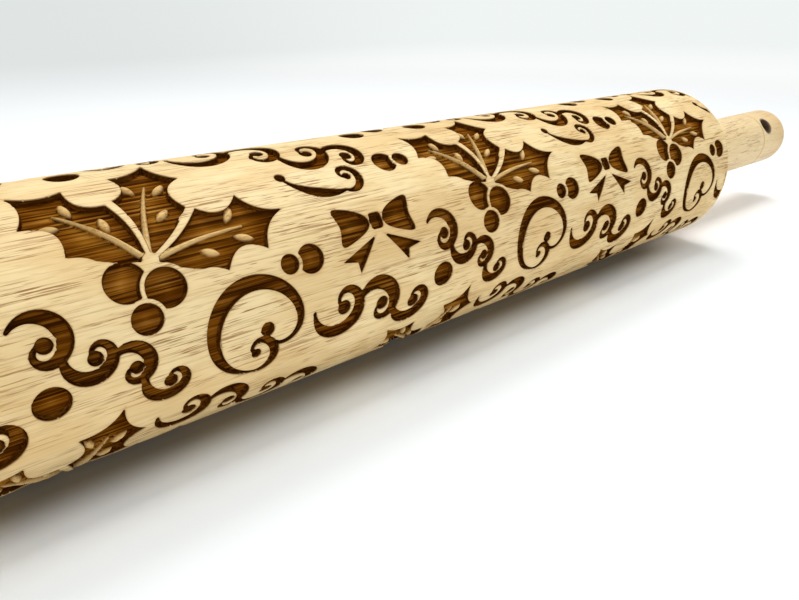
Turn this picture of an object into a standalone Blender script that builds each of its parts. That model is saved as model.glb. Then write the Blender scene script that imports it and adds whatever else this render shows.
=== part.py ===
"""Embossed rolling pin: an engraved beech barrel that turns on a steel axle between two turned handles."""

import math

import bmesh
import bpy
from mathutils import Matrix, Vector
from mathutils.geometry import delaunay_2d_cdt

# Barrel, along X: a plain roller with rounded shoulders
BARREL_LENGTH = 0.254
BARREL_RADIUS = 0.025
SHOULDER_RADIUS = 0.0015
SHOULDER_STEPS = 3
BARREL_SIDES = 28
CORE_RADIUS = 0.0055

# Engraving, cut into the barrel in square tiles that repeat round it and along it
POCKET_DEPTH = 0.0012
END_LAND = 0.0005
TILES_ROUND = 2
SPRIG_OFFSET = 0.0142
SPRIG_ELEVATION = math.radians(36)

# Holly leaf: its spines and hollows run from the stalk to the tip
LEAF_LENGTH = 0.0262
LEAF_WIDTH = 0.0130
LEAF_EDGE_SHARES = (
    (0.12, 0.38),
    (0.27, 0.70),
    (0.42, 1.00),
    (0.57, 0.56),
    (0.74, 0.90),
    (0.83, 0.30),
)
LEAF_SPREAD_SHARES = ((math.radians(9), 1.0), (math.radians(72), 0.94), (math.radians(132), 0.92))
HUB_RADIUS = 0.0013
HUB_SIDES = 6
VEIN_WIDTH = 0.0008
VEIN_TIP_WIDTH = 0.0003
VEIN_LENGTH_SHARE = 0.66
PARTING_WIDTH = 0.0012
PARTING_LENGTH = 0.0132

# Berries: three overlap under each sprig, each place measured from the hub, and others lie loose
SPRIG_BERRIES = (
    (-0.0048, -0.0025, 0.0034),
    (0.0009, -0.0047, 0.0034),
    (-0.0032, -0.0088, 0.0026),
)
LOOSE_BERRY_RADIUS = 0.0028
TINY_BERRY_RADIUS = 0.0019
PAIR_SPACING = 0.0044
BERRY_SIDES = 8
BERRY_GAP = 0.0006

# Ribbon bow: two loops, a knot and two notched tails, each in shares of half its width
BOW_WIDTH = 0.0188
LOOP_SHARES = (
    (0.22, -0.12),
    (0.58, -0.31),
    (0.97, -0.38),
    (0.92, 0.00),
    (0.98, 0.40),
    (0.55, 0.33),
    (0.22, 0.13),
)
TAIL_SHARES = ((0.09, -0.28), (0.66, -1.00), (0.70, -0.75), (1.06, -0.68))
KNOT_SHARE = 0.15
KNOT_SIDES = 6

# Running gaps and seats
SEAT_GAP = 0.0003
RUNNING_GAP = 0.0003

# Axle: a plain steel rod
AXLE_RADIUS = 0.004
AXLE_GRIP = 0.056
AXLE_CHAMFER = 0.0006
ROUND_SIDES = 24

# Bushing: a flanged sleeve pressed into each end of the barrel
BUSHING_WALL = 0.0034
BUSHING_LENGTH = 0.014
FLANGE_RADIUS = 0.0096
FLANGE_THICKNESS = 0.0014

# Thrust washer between bushing and handle
WASHER_RADIUS = 0.0088
WASHER_THICKNESS = 0.0008

# Handle: turned, with a groove and a hanging hole near its rounded end
HANDLE_LENGTH = 0.084
NECK_RADIUS = 0.0101
SWELL_RADIUS = 0.0107
NECK_ROUND = 0.0010
SWELL_STEPS = 3
END_ROUND = 0.0050
END_STEPS = 4
END_CROWN = 0.0006
GROOVE_FROM_END = 0.0235
GROOVE_WIDTH = 0.0012
GROOVE_DEPTH = 0.0006
HOLE_RADIUS = 0.003
HOLE_FROM_GROOVE = 0.0047
HOLE_ELEVATION = math.radians(40)
HOLE_SIDES = 16
BORE_SPARE = 0.001
CUT_OVERRUN = 0.002
CREASE = math.radians(30)

# Worked out from the sizes above
WELD = 1e-6
SIDE_ANGLE = math.tau / BARREL_SIDES
CORNER_SHARE = 1 / math.cos(SIDE_ANGLE / 2)
AXIS_HEIGHT = BARREL_RADIUS
TILE = math.tau * BARREL_RADIUS / TILES_ROUND
BUSHING_BORE = AXLE_RADIUS + RUNNING_GAP
SLEEVE_RADIUS = BUSHING_BORE + BUSHING_WALL
BARREL_END = BARREL_LENGTH / 2
WASHER_START = BARREL_END + RUNNING_GAP
HANDLE_START = WASHER_START + WASHER_THICKNESS + RUNNING_GAP
AXLE_END = HANDLE_START + AXLE_GRIP

# Colours
BEECH = (0.74, 0.52, 0.27)
STEEL = (0.55, 0.55, 0.56)
NYLON = (0.80, 0.79, 0.74)
BRIGHT_STEEL = (0.62, 0.62, 0.63)


def material(name, colour, roughness, metallic):
    """A plain finish of one colour."""
    made = bpy.data.materials.new(name)
    made.use_nodes = True
    shader = made.node_tree.nodes["Principled BSDF"]
    shader.inputs["Base Color"].default_value = (*colour, 1)
    shader.inputs["Roughness"].default_value = roughness
    shader.inputs["Metallic"].default_value = metallic
    return made


def frame(name):
    """An empty on the axis, which the pieces that move together hang from."""
    empty = bpy.data.objects.new(name, None)
    empty.location = (0, 0, AXIS_HEIGHT)
    empty.empty_display_size = BARREL_RADIUS
    bpy.context.scene.collection.objects.link(empty)
    return empty


def piece(name, bm, finish, parent):
    """Turns a finished bmesh, drawn about the X axis, into a named object of the assembly."""
    mesh = bpy.data.meshes.new(name)
    bm.to_mesh(mesh)
    bm.free()
    mesh.materials.append(finish)
    mesh.shade_smooth()
    mesh.set_sharp_from_angle(angle=CREASE)
    made = bpy.data.objects.new(name, mesh)
    made.parent = parent
    bpy.context.scene.collection.objects.link(made)
    return made


def turned(profile, closed):
    """Spins a profile of places along the axis and radii about X, as a lathe would cut it."""
    bm = bmesh.new()
    verts = [bm.verts.new((x, 0, -radius)) for x, radius in profile]
    pairs = list(zip(verts, verts[1:]))
    if closed:
        pairs.append((verts[-1], verts[0]))
    edges = [bm.edges.new(pair) for pair in pairs]
    bmesh.ops.spin(
        bm,
        geom=verts + edges,
        cent=(0, 0, 0),
        axis=(1, 0, 0),
        angle=math.tau,
        steps=ROUND_SIDES,
        use_merge=True,
    )
    bmesh.ops.remove_doubles(bm, verts=bm.verts, dist=WELD)
    bmesh.ops.recalc_face_normals(bm, faces=bm.faces)
    return bm


def mirrored(bm, side):
    """Turns a piece drawn for the far end, at +X, round for the near end where side is -1."""
    if side < 0:
        bmesh.ops.transform(bm, matrix=Matrix.Rotation(math.pi, 4, "Z"), verts=bm.verts)
    return bm


def circle(centre, radius, sides):
    """An anticlockwise ring of points on the flat sheet."""
    steps = [math.tau * step / sides for step in range(sides)]
    return [(centre[0] + radius * math.cos(a), centre[1] + radius * math.sin(a)) for a in steps]


def turned_about(points, angle):
    """Points on the sheet turned about its origin."""
    c = math.cos(angle)
    s = math.sin(angle)
    return [(c * u - s * v, s * u + c * v) for u, v in points]


def leaf(length, width):
    """A holly leaf from its stalk at the origin along +u: out along the lower edge, back along the upper."""
    half = width / 2
    lower = [(along * length, -across * half) for along, across in LEAF_EDGE_SHARES]
    upper = [(u, -v) for u, v in reversed(lower)]
    return [(0, 0), *lower, (length, 0), *upper]


def strip(length, foot_width, tip_width):
    """A straight raised rib from the hub at the origin along +u."""
    foot = foot_width / 2
    tip = tip_width / 2
    return [(0, -foot), (length, -tip), (length, tip), (0, foot)]


def berries(places):
    """Berries that overlap: each later one lies over those before it, with a raised ring round it."""
    layers = []
    for number, (u, v, radius) in enumerate(places):
        if number:
            layers.append((circle((u, v), radius + BERRY_GAP, BERRY_SIDES), False))
        layers.append((circle((u, v), radius, BERRY_SIDES), True))
    return layers


def sprig():
    """Three leaves round a raised hub, over three berries. Every motif is a list of outlines, lowest
    layer first, each with whether it is cut."""
    leaves = []
    ribs = []
    for angle, share in LEAF_SPREAD_SHARES:
        length = share * LEAF_LENGTH
        leaves.append((turned_about(leaf(length, LEAF_WIDTH), angle), True))
        rib = strip(length * VEIN_LENGTH_SHARE, VEIN_WIDTH, VEIN_TIP_WIDTH)
        ribs.append((turned_about(rib, angle), False))
    for (angle, _), (next_angle, _) in zip(LEAF_SPREAD_SHARES, LEAF_SPREAD_SHARES[1:]):
        parting = strip(PARTING_LENGTH, VEIN_WIDTH, PARTING_WIDTH)
        ribs.append((turned_about(parting, (angle + next_angle) / 2), False))
    hub = (circle((0, 0), HUB_RADIUS, HUB_SIDES), False)
    return leaves + berries(SPRIG_BERRIES) + ribs + [hub]


def bow():
    """A ribbon bow about its knot."""
    half = BOW_WIDTH / 2
    right = [[(u * half, v * half) for u, v in shares] for shares in (LOOP_SHARES, TAIL_SHARES)]
    left = [[(-u, v) for u, v in reversed(points)] for points in right]
    knot = circle((0, 0), KNOT_SHARE * half, KNOT_SIDES)
    return [(points, True) for points in [*right, *left, knot]]


def berry_pair():
    """A loose berry and a tiny one over its edge."""
    return berries([(0, 0, LOOSE_BERRY_RADIUS), (PAIR_SPACING, 0, TINY_BERRY_RADIUS)])


def single_berry():
    """One loose berry."""
    return berries([(0, 0, LOOSE_BERRY_RADIUS)])


# Where each motif stands, in shares of the tile from the first sprig's hub, and how far it is turned.
# The layout goes once round the barrel, and repeats along it each tile.
HALF_TURN = math.pi
LAYOUT_SHARES = (
    (sprig, 0.00, 0.00, 0),
    (bow, 0.56, -0.03, 0),
    (berry_pair, 0.35, -0.08, HALF_TURN),
    (berry_pair, 0.68, 0.13, 0),
    (single_berry, 0.76, -0.22, 0),
    (single_berry, 0.695, 0.30, 0),
    (single_berry, 0.93, 0.30, 0),
    (sprig, 0.79, -0.58, 0),
    (bow, 0.50, -0.615, 0),
    (berry_pair, 0.08, -0.67, 0),
    (sprig, 0.56, 0.94, 0),
    (bow, 0.06, 0.93, 0),
    (berry_pair, 0.28, 0.90, 0),
    (single_berry, 0.12, 1.16, 0),
    (single_berry, 0.95, 1.24, 0),
    (sprig, 0.83, 0.44, 0),
    (bow, 0.40, 0.52, 0),
    (berry_pair, 0.44, 0.75, 0),
)


def placed_layers():
    """The layers of every motif that reaches the barrel's sheet, with whether each is cut."""
    first_v = SPRIG_ELEVATION * BARREL_RADIUS
    low_v, high_v = sheet_span()
    tiles_along = math.ceil(BARREL_LENGTH / TILE)
    kept = []
    for motif, share_u, share_v, turn in LAYOUT_SHARES:
        layers = motif()
        for column in range(-tiles_along, tiles_along + 1):
            for turn_round in (-1, 0, 1):
                du = SPRIG_OFFSET + (share_u + column) * TILE
                dv = first_v + (share_v + turn_round * TILES_ROUND) * TILE
                for points, is_cut in layers:
                    moved = [(u + du, v + dv) for u, v in turned_about(points, turn)]
                    if reaches_sheet(moved, low_v, high_v):
                        kept.append((moved, is_cut))
    return kept


def sheet_span():
    """The unrolled sheet's lowest and highest v: one turn, from an edge of the side that rests on
    the table."""
    low = (SIDE_ANGLE / 2 - math.pi / 2) * BARREL_RADIUS
    return low, low + math.tau * BARREL_RADIUS


def reaches_sheet(points, low_v, high_v):
    """Whether any of an outline lies on the engraved part of the sheet."""
    zone = BARREL_END - SHOULDER_RADIUS - END_LAND
    inside_u = min(u for u, _ in points) < zone and max(u for u, _ in points) > -zone
    return inside_u and min(v for _, v in points) < high_v and max(v for _, v in points) > low_v


def cut_sheet():
    """Triangles of the unrolled sheet: its points, and each triangle with whether it is a pocket's
    floor."""
    low_v, high_v = sheet_span()
    end_u = BARREL_END - SHOULDER_RADIUS
    zone_u = end_u - END_LAND
    layers = placed_layers()
    sheet = [(-end_u, low_v), (end_u, low_v), (end_u, high_v), (-end_u, high_v)]
    zone = [(-zone_u, low_v), (zone_u, low_v), (zone_u, high_v), (-zone_u, high_v)]
    points = []
    faces = []
    for outline in [sheet, zone, *[layer for layer, _ in layers]]:
        faces.append(list(range(len(points), len(points) + len(outline))))
        points.extend(outline)
    edges = []
    for side in range(1, BARREL_SIDES):
        v = low_v + side * SIDE_ANGLE * BARREL_RADIUS
        edges.append((len(points), len(points) + 1))
        points.extend([(-end_u, v), (end_u, v)])
    flat = delaunay_2d_cdt([Vector(point) for point in points], edges, faces, 0, WELD, True)
    verts, triangles, sources = flat[0], flat[2], flat[5]
    kept = []
    for triangle, source in zip(triangles, sources):
        if 0 not in source:
            continue
        top = max(source) - 2
        kept.append((triangle, 1 in source and top >= 0 and layers[top][1]))
    return verts, kept


def on_barrel(point, radius):
    """A point of the sheet wrapped on the barrel's flat sides: u along the axis, v up the side
    that faces -Y."""
    angle = point[1] / BARREL_RADIUS
    from_middle = (angle + math.pi / 2 + SIDE_ANGLE / 2) % SIDE_ANGLE - SIDE_ANGLE / 2
    out = radius / math.cos(from_middle)
    return (point[0], -out * math.cos(angle), out * math.sin(angle))


def engraved_skin():
    """The barrel's outer skin: land at full radius, pocket floors below it and walls where the two
    meet."""
    verts, triangles = cut_sheet()
    bm = bmesh.new()
    radii = (BARREL_RADIUS, BARREL_RADIUS - POCKET_DEPTH)
    made = ({}, {})
    beside = {}
    for triangle, is_floor in triangles:
        level = made[is_floor]
        for index in triangle:
            if index not in level:
                level[index] = bm.verts.new(on_barrel(verts[index], radii[is_floor]))
        bm.faces.new([level[index] for index in triangle])
        for a, b in zip(triangle, [*triangle[1:], triangle[0]]):
            beside.setdefault((min(a, b), max(a, b)), []).append((a, b, is_floor))
    for sides in beside.values():
        if len(sides) == 2 and sides[0][2] != sides[1][2]:
            a, b, _ = next(side for side in sides if not side[2])
            bm.faces.new((made[0][b], made[0][a], made[1][a], made[1][b]))
    bmesh.ops.remove_doubles(bm, verts=bm.verts, dist=WELD)
    return bm


def carry_ring(bm, ring, x, radius):
    """Draws an open ring of edges on to another place along the axis, its flats at another radius."""
    made = bmesh.ops.extrude_edge_only(bm, edges=ring)["geom"]
    for vert in [part for part in made if isinstance(part, bmesh.types.BMVert)]:
        out = Vector((0, vert.co.y, vert.co.z)).normalized() * radius * CORNER_SHARE
        vert.co = (x, out.y, out.z)
    return [part for part in made if isinstance(part, bmesh.types.BMEdge) and part.is_boundary]


def barrel_end_profile():
    """From the skin inwards at one end: shoulder, end face, flange recess, bushing seat and core."""
    centre_x = BARREL_END - SHOULDER_RADIUS
    centre_radius = BARREL_RADIUS - SHOULDER_RADIUS
    profile = []
    for step in range(1, SHOULDER_STEPS + 1):
        angle = math.pi / 2 * step / SHOULDER_STEPS
        x = centre_x + SHOULDER_RADIUS * math.sin(angle)
        profile.append((x, centre_radius + SHOULDER_RADIUS * math.cos(angle)))
    recess_floor = BARREL_END - FLANGE_THICKNESS - SEAT_GAP
    seat_floor = BARREL_END - BUSHING_LENGTH - SEAT_GAP
    recess_radius = FLANGE_RADIUS + SEAT_GAP
    seat_radius = SLEEVE_RADIUS + SEAT_GAP
    profile += [(BARREL_END, recess_radius), (recess_floor, recess_radius)]
    profile += [(recess_floor, seat_radius), (seat_floor, seat_radius), (seat_floor, CORE_RADIUS)]
    return profile


def make_barrel(parent, finish):
    """The engraved roller, bored through and recessed at each end for its bushing."""
    bm = engraved_skin()
    inner_rings = []
    for side in (-1, 1):
        ring = [edge for edge in bm.edges if edge.is_boundary and edge.verts[0].co.x * side > 0]
        for x, radius in barrel_end_profile():
            ring = carry_ring(bm, ring, side * x, radius)
        inner_rings += ring
    bmesh.ops.bridge_loops(bm, edges=inner_rings)
    bmesh.ops.recalc_face_normals(bm, faces=bm.faces)
    return piece("barrel", bm, finish, parent)


def make_bushing(name, side, parent, finish):
    """A flanged sleeve: its flange lies flush with the barrel's end face."""
    start = BARREL_END - BUSHING_LENGTH
    under_flange = BARREL_END - FLANGE_THICKNESS
    profile = [
        (start, BUSHING_BORE),
        (start, SLEEVE_RADIUS),
        (under_flange, SLEEVE_RADIUS),
        (under_flange, FLANGE_RADIUS),
        (BARREL_END, FLANGE_RADIUS),
        (BARREL_END, BUSHING_BORE),
    ]
    return piece(name, mirrored(turned(profile, True), side), finish, parent)


def make_washer(name, side, parent, finish):
    """A flat ring on the axle that the barrel's bushing bears against."""
    end = WASHER_START + WASHER_THICKNESS
    profile = [
        (WASHER_START, BUSHING_BORE),
        (WASHER_START, WASHER_RADIUS),
        (end, WASHER_RADIUS),
        (end, BUSHING_BORE),
    ]
    return piece(name, mirrored(turned(profile, True), side), finish, parent)


def make_axle(parent, finish):
    """A straight rod through the whole pin, with broken corners."""
    waist = AXLE_END - AXLE_CHAMFER
    tip = AXLE_RADIUS - AXLE_CHAMFER
    profile = [
        (-AXLE_END, 0),
        (-AXLE_END, tip),
        (-waist, AXLE_RADIUS),
        (waist, AXLE_RADIUS),
        (AXLE_END, tip),
        (AXLE_END, 0),
    ]
    return piece("axle", turned(profile, False), finish, parent)


def handle_radius(share):
    """The grip's radius: it swells in one easy curve from the neck to the groove."""
    ease = (1 - math.cos(math.pi * share)) / 2
    return NECK_RADIUS + (SWELL_RADIUS - NECK_RADIUS) * ease


def handle_profile():
    """From the foot of the blind bore out to its mouth, over the grip and round the end to the axis."""
    bore_radius = AXLE_RADIUS + SEAT_GAP
    bore_end = AXLE_END + BORE_SPARE
    end = HANDLE_START + HANDLE_LENGTH
    groove = end - GROOVE_FROM_END
    grip_start = HANDLE_START + NECK_ROUND
    grip_end = groove - GROOVE_WIDTH / 2
    profile = [(bore_end, 0), (bore_end, bore_radius), (HANDLE_START, bore_radius)]
    profile += [(HANDLE_START, NECK_RADIUS - NECK_ROUND)]
    for step in range(SWELL_STEPS + 1):
        share = step / SWELL_STEPS
        profile.append((grip_start + share * (grip_end - grip_start), handle_radius(share)))
    profile += [(groove, SWELL_RADIUS - GROOVE_DEPTH), (groove + GROOVE_WIDTH / 2, SWELL_RADIUS)]
    centre_x = end - END_CROWN - END_ROUND
    centre_radius = SWELL_RADIUS - END_ROUND
    for step in range(END_STEPS + 1):
        angle = math.pi / 2 * step / END_STEPS
        x = centre_x + END_ROUND * math.sin(angle)
        profile.append((x, centre_radius + END_ROUND * math.cos(angle)))
    profile.append((end, 0))
    return profile


def make_hole_cutter(name, side, parent):
    """A guide for the hanging hole, across the handle just past its groove."""
    bm = bmesh.new()
    bmesh.ops.create_cone(
        bm,
        cap_ends=True,
        segments=HOLE_SIDES,
        radius1=HOLE_RADIUS,
        radius2=HOLE_RADIUS,
        depth=2 * (SWELL_RADIUS + CUT_OVERRUN),
    )
    place = side * (HANDLE_START + HANDLE_LENGTH - GROOVE_FROM_END + HOLE_FROM_GROOVE)
    lean = Matrix.Rotation(math.pi / 2 - HOLE_ELEVATION, 4, "X")
    bmesh.ops.transform(bm, matrix=Matrix.Translation((place, 0, 0)) @ lean, verts=bm.verts)
    cutter = piece(name, bm, None, parent)
    cutter.hide_render = True
    cutter.display_type = "WIRE"
    return cutter


def make_handle(name, side, parent, finish):
    """A turned handle with a blind bore for the axle and a hanging hole."""
    handle = piece(name, mirrored(turned(handle_profile(), False), side), finish, parent)
    hole = handle.modifiers.new("hanging_hole", "BOOLEAN")
    hole.operation = "DIFFERENCE"
    hole.solver = "EXACT"
    hole.object = make_hole_cutter(name + "_hole_guide", side, parent)
    return handle


def main():
    for old in list(bpy.data.objects):
        bpy.data.objects.remove(old, do_unlink=True)
    beech = material("beech", BEECH, 0.5, 0)
    steel = material("steel", STEEL, 0.35, 1)
    bright_steel = material("bright_steel", BRIGHT_STEEL, 0.25, 1)
    nylon = material("nylon", NYLON, 0.4, 0)
    held = frame("handle_frame")
    turning = frame("barrel_frame")
    make_barrel(turning, beech)
    make_axle(held, steel)
    for end, side in (("far", 1), ("near", -1)):
        make_bushing("bushing_" + end, side, turning, nylon)
        make_washer("washer_" + end, side, held, bright_steel)
        make_handle("handle_" + end, side, held, beech)


main()
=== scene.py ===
import itertools
import math

import bpy
import numpy as np
from bpy.props import FloatProperty, FloatVectorProperty, IntProperty, PointerProperty
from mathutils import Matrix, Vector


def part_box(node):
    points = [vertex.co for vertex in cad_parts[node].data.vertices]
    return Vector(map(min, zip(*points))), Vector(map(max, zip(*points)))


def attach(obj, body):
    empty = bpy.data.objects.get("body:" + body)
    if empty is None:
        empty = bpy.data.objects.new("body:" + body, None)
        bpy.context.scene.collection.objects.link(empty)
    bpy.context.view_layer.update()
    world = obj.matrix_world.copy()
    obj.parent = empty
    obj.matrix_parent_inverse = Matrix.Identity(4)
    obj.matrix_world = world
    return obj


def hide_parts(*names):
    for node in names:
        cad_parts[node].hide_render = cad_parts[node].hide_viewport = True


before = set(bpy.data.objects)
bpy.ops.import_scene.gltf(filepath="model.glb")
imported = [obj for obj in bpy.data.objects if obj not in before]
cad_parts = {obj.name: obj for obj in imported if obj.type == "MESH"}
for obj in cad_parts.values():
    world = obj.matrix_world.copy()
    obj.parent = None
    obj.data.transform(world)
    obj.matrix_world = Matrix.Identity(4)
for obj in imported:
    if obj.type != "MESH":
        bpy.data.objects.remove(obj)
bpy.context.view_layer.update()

bl_info = {
    "name": "Engraved Rolling Pin",
    "version": (1, 0, 0),
    "blender": (4, 5, 0),
    "location": "View3D > Sidebar > Rolling Pin",
    "description": "Dresses a rolling pin: engraved barrel, turned handles, fittings and a pale studio",
    "category": "Add Mesh",
}

MM = 0.001


def span(node):
    """Where a round node starts and ends along the axle, and its radius."""
    low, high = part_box(node)
    return low.x, high.x, (high.z - low.z) / 2


BARREL_END, BARREL_RADIUS = span("barrel")[1:]
HANDLE_START, HANDLE_END, HANDLE_RADIUS = span("handle_far")
BUSHING_START, BUSHING_END, FLANGE_RADIUS = span("bushing_far")
WASHER_START, WASHER_END, WASHER_RADIUS = span("washer_far")
AXLE_END, AXLE_RADIUS = span("axle")[1:]
AXIS_HEIGHT = sum(corner.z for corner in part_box("barrel")) / 2

# Engraving layout, in shares of a tile from the first sprig's hub. It repeats along the barrel each
# tile and goes once round it, which is two tiles.
TILES_ROUND = 2
LAYOUT = {
    "sprig": ((0.0, 0.0), (0.79, -0.58), (0.56, 0.94), (0.83, 0.44)),
    "bow": ((0.56, -0.03), (0.50, -0.615), (0.06, 0.93), (0.40, 0.52)),
    "pair": ((0.68, 0.13), (0.08, -0.67), (0.28, 0.90), (0.44, 0.75)),
    "pair_turned": ((0.35, -0.08),),
    "single": ((0.76, -0.22), (0.695, 0.30), (0.93, 0.30), (0.12, 1.16), (0.95, 1.24)),
    "scrolls": ((0.0, 0.0),),
}

# Leaf edge from stalk to tip: shares of its length and of half its width
LEAF_EDGE = ((0.12, 0.38), (0.27, 0.70), (0.42, 1.00), (0.57, 0.56), (0.74, 0.90), (0.83, 0.30))
# Each leaf's direction in degrees, its share of the full length and the way its midrib bows
LEAVES = ((9, 1.00, 1), (72, 0.94, 1), (132, 0.92, -1))
# Raised almonds on a leaf: shares along and across, tilt in degrees, half length in mm
LEAF_ACCENTS = ((0.37, -0.36, -34, 1.8), (0.63, -0.33, -30, 2.0), (0.62, 0.43, 44, 1.8))
# Berries in mm from the hub or the first berry: place and radius
SPRIG_BERRIES = ((-4.8, -2.5, 3.4), (0.9, -4.7, 3.4), (-3.2, -8.8, 2.6))
PAIR_BERRIES = ((0.0, 0.0, 2.8), (4.4, 0.0, 1.9))
SINGLE_BERRY = ((0.0, 0.0, 2.8),)
# One loop and one tail of the bow, in shares of half its width
BOW_LOOP = ((0.22, -0.12), (0.58, -0.31), (0.97, -0.38), (0.92, 0.0), (0.98, 0.4), (0.55, 0.33), (0.22, 0.13))
BOW_TAIL = ((0.09, -0.28), (0.66, -1.00), (0.70, -0.75), (1.06, -0.68))
# Running scrolls in mm from the first hub: start, heading in degrees, pen width, the first curl's
# hand, and the curls, whose hands take turns: radius, the degrees that the stem turns, and how many
# radii the spiral winds on, where that isn't FULL_WIND
SCROLLS = (
    ((-22.0, -5.3), 50, 2.8, -1, (3.9, 172), (3.5, 180), (3.1, 186), (3.5, 166)),
    ((13.6, -24.8), 170, 3.0, -1, (8.6, 235, 1.75)),
    ((13.6, -24.8), -16, 2.2, 1, (3.4, 160, 1.6)),
    ((26.6, -16.6), -94, 3.3, 1, (5.2, 172), (4.6, 178), (4.4, 160)),
    ((13.0, 25.4), -98, 2.9, 1, (5.4, 165), (4.8, 175), (4.9, 175), (3.9, 168, 2.0)),
    ((40.6, 5.2), 188, 2.3, -1, (13.0, 45, 0.3)),
    ((40.6, 5.2), -30, 2.3, 1, (2.9, 170, 2.0)),
    ((-3.6, -28.4), -96, 2.8, 1, (4.4, 168), (4.0, 174), (4.4, 174), (4.2, 170)),
    ((74.5, 61.2), -96, 2.8, 1, (4.6, 166), (4.2, 174), (4.2, 176), (3.8, 168)),
    ((49.2, 64.2), -88, 2.5, 1, (3.5, 168), (3.3, 170)),
    ((11.2, 83.5), -92, 2.5, 1, (3.8, 165), (3.5, 172)),
    ((70.5, 87.0), -84, 2.4, 1, (3.5, 166), (3.3, 170)),
    ((13.0, 97.7), -90, 2.3, 1, (3.0, 160), (2.8, 165)),
    ((77.5, 28.9), -96, 2.3, 1, (3.3, 166), (3.0, 168)),
)
# The pen: its finest line in mm, the share of a stroke at which it is widest, the power of the sine
# by which it narrows, and the radius in mm of the smallest curl that it draws at full width
THIN_PEN, PEN_PEAK, PEN_FALL, FULL_CURL = 0.7, 0.42, 1.6, 4.2
# A curl's end ball: its radius as a share of the stroke's width, and what is added in mm
BALL_SHARE, BALL_SPARE = 0.42, 0.15
# A spiral's run in radii, how much it tightens and how closely its points lie
FULL_WIND, SPIRAL_TIGHTENS, POINTS_PER_MM = 2.1, 3.4, 1.6
# How many segments of a stroke one window of the field takes, and how far it reaches past them
WINDOW_SEGMENTS, WINDOW_MARGIN = 12, 3.2

# A sprig in mm: the hub's radius, the land that parts two leaves (length, bow, width at the hub and
# at the tip), and each leaf's rib (share of the leaf, bow, width at the hub and at the tip)
HUB_RADIUS = 1.3
PARTING_LENGTH, PARTING_BOW, PARTING_WIDTHS = 14.2, -0.9, (0.55, 1.5)
RIB_REACH, RIB_BOW, RIB_WIDTHS = 0.66, 0.55, (1.45, 0.75)
# A rib's rounding in mm, its height in shares of the depth, and how that falls from the hub outwards
RIB_ROUNDING, RIB_HEIGHT, RIB_FALL, RIB_LOWEST = 0.62, 0.92, 1.35, 0.6
# An almond's half width and spare half length in mm, and its height in shares of the depth
ALMOND_WIDTH, ALMOND_SPARE, ALMOND_HEIGHT = 0.95, 0.25, 0.76
# The bow's knot in mm: half sizes of its straight part, and its rounding
KNOT, KNOT_ROUNDING = (0.8, 0.95), 0.75

# Small edges in metres: the recess's lip, the groove's rim, the bore's mouth, the hole's flare, and
# those of the axle, the bushings and the washers
LIP, GROOVE_EDGE, BORE_EDGE, HOLE_FLARE = 0.0004, 0.0002, 0.0003, 0.0007
AXLE_EDGE, BUSHING_EDGE, WASHER_EDGE = 0.0006, 0.0003, 0.0002
# How far the hole's tool stands out of the handle
GUIDE_SPARE = 0.002
# Columns round the handles, their holes and the fittings
HANDLE_COLUMNS, HOLE_COLUMNS, FITTING_COLUMNS = 120, 48, 72
# The pin's two ends and the way each faces along the axle
ENDS = (("far", 1), ("near", -1))

# Painted shadow on the paper under the barrel, seen by the camera's rays only: its colour at the contact,
# then where each further shade of it begins and is full, in metres from the axle's line
PAINTED_CONTACT_SHADOW = (0.178, 0.128, 0.047)
PAINTED_FLOOR_SHADOWS = ((0.0110, 0.0236, (0.95, 0.99, 1.0)), (0.0235, 0.038, (0.685, 0.715, 0.73)))
# The paper's colour as the light's rays meet it: darkened under the barrel as painted shade, and its own
# colour in the open
PAPER_PAINTED_SHADE_UNDER, PAPER_OPEN = (0.50, 0.46, 0.38), (0.94, 0.955, 0.95)
# Painted shade: what the glowing distant paper greys to on the right and on the left, as the light falls off
FALLOFF_SHADE_RIGHT, FALLOFF_SHADE_LEFT = (0.870, 0.915, 0.905), (0.745, 0.780, 0.775)
WHITE, BLACK = (1.0, 1.0, 1.0), (0.0, 0.0, 0.0)
# Metres from the middle of the floor to its walls, and their height
FLOOR_REACH, WALL_RISE = 9.0, 4.5

# Lamps: place, turn in degrees, size and colour
LAMPS = {
    "overhead": ((0.18, 0.22, 0.93), (-13, 11, 0), 0.6, (1.0, 0.99, 0.97)),
    "front": ((-0.35, -0.85, 0.45), (62, 0, -20), 0.8, (0.93, 0.97, 1.0)),
}
# The room's colour as light on the object and as seen
ROOM_LIGHT, ROOM_SEEN = (0.98, 0.985, 1.0), (0.84, 0.88, 0.87)
CAMERA_PLACE = (-0.0988, -0.11935, 0.075875)
CAMERA_TURN = (math.radians(66.23), 0.0, math.radians(-40.83))

# Streaks of the sanded wood: lumps per metre along and across the grain, the noise's detail and
# roughness, and the levels between which a streak comes in
STREAKS = {
    "cloud": (14, 60, 3.0, 0.5, 0.35, 0.75),
    "silk": (26, 900, 3.0, 0.6, 0.45, 0.80),
    "fibre": (90, 5200, 2.0, 0.6, 0.50, 0.80),
    "patch": (60, 240, 2.0, 0.5, 0.40, 0.64),
    "dash": (230, 3300, 1.0, 0.5, 0.58, 0.70),
    "thread": (70, 3500, 2.0, 0.5, 0.54, 0.64),
    "hair": (150, 3600, 1.0, 0.5, 0.55, 0.75),
    "dots": (1500, 3400, 1.0, 0.5, 0.56, 0.70),
}
# How the grain lies to the axle
GRAIN_TURN = (0.0, math.radians(0.8), math.radians(-1.6))
# Metres between growth bands along the grain and between the rings of a sawn end
BAND_PERIOD, RING_PERIOD = 0.0052, 0.0026
# How far in radians the bands wander
BAND_WANDER = 7.0

# In mm: a distance beyond any outline, the edge attribute on plain faces and its limits
FAR, PLAIN_EDGE, EDGE_LIMIT = 9.0, 3.0, 4
# How near in cells a vertex is to a line that it moves on to, and the least slope it moves along
SNAP_REACH, LEAST_SLOPE = 0.45, 0.3
# Faces that meet at more than this shade apart
SHARP_ANGLE = math.radians(38)


# The kinds of property: a length, an angle given in degrees and a colour
def metres(name, description, default):
    return FloatProperty(name=name, description=description, default=default, unit="LENGTH")


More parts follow.
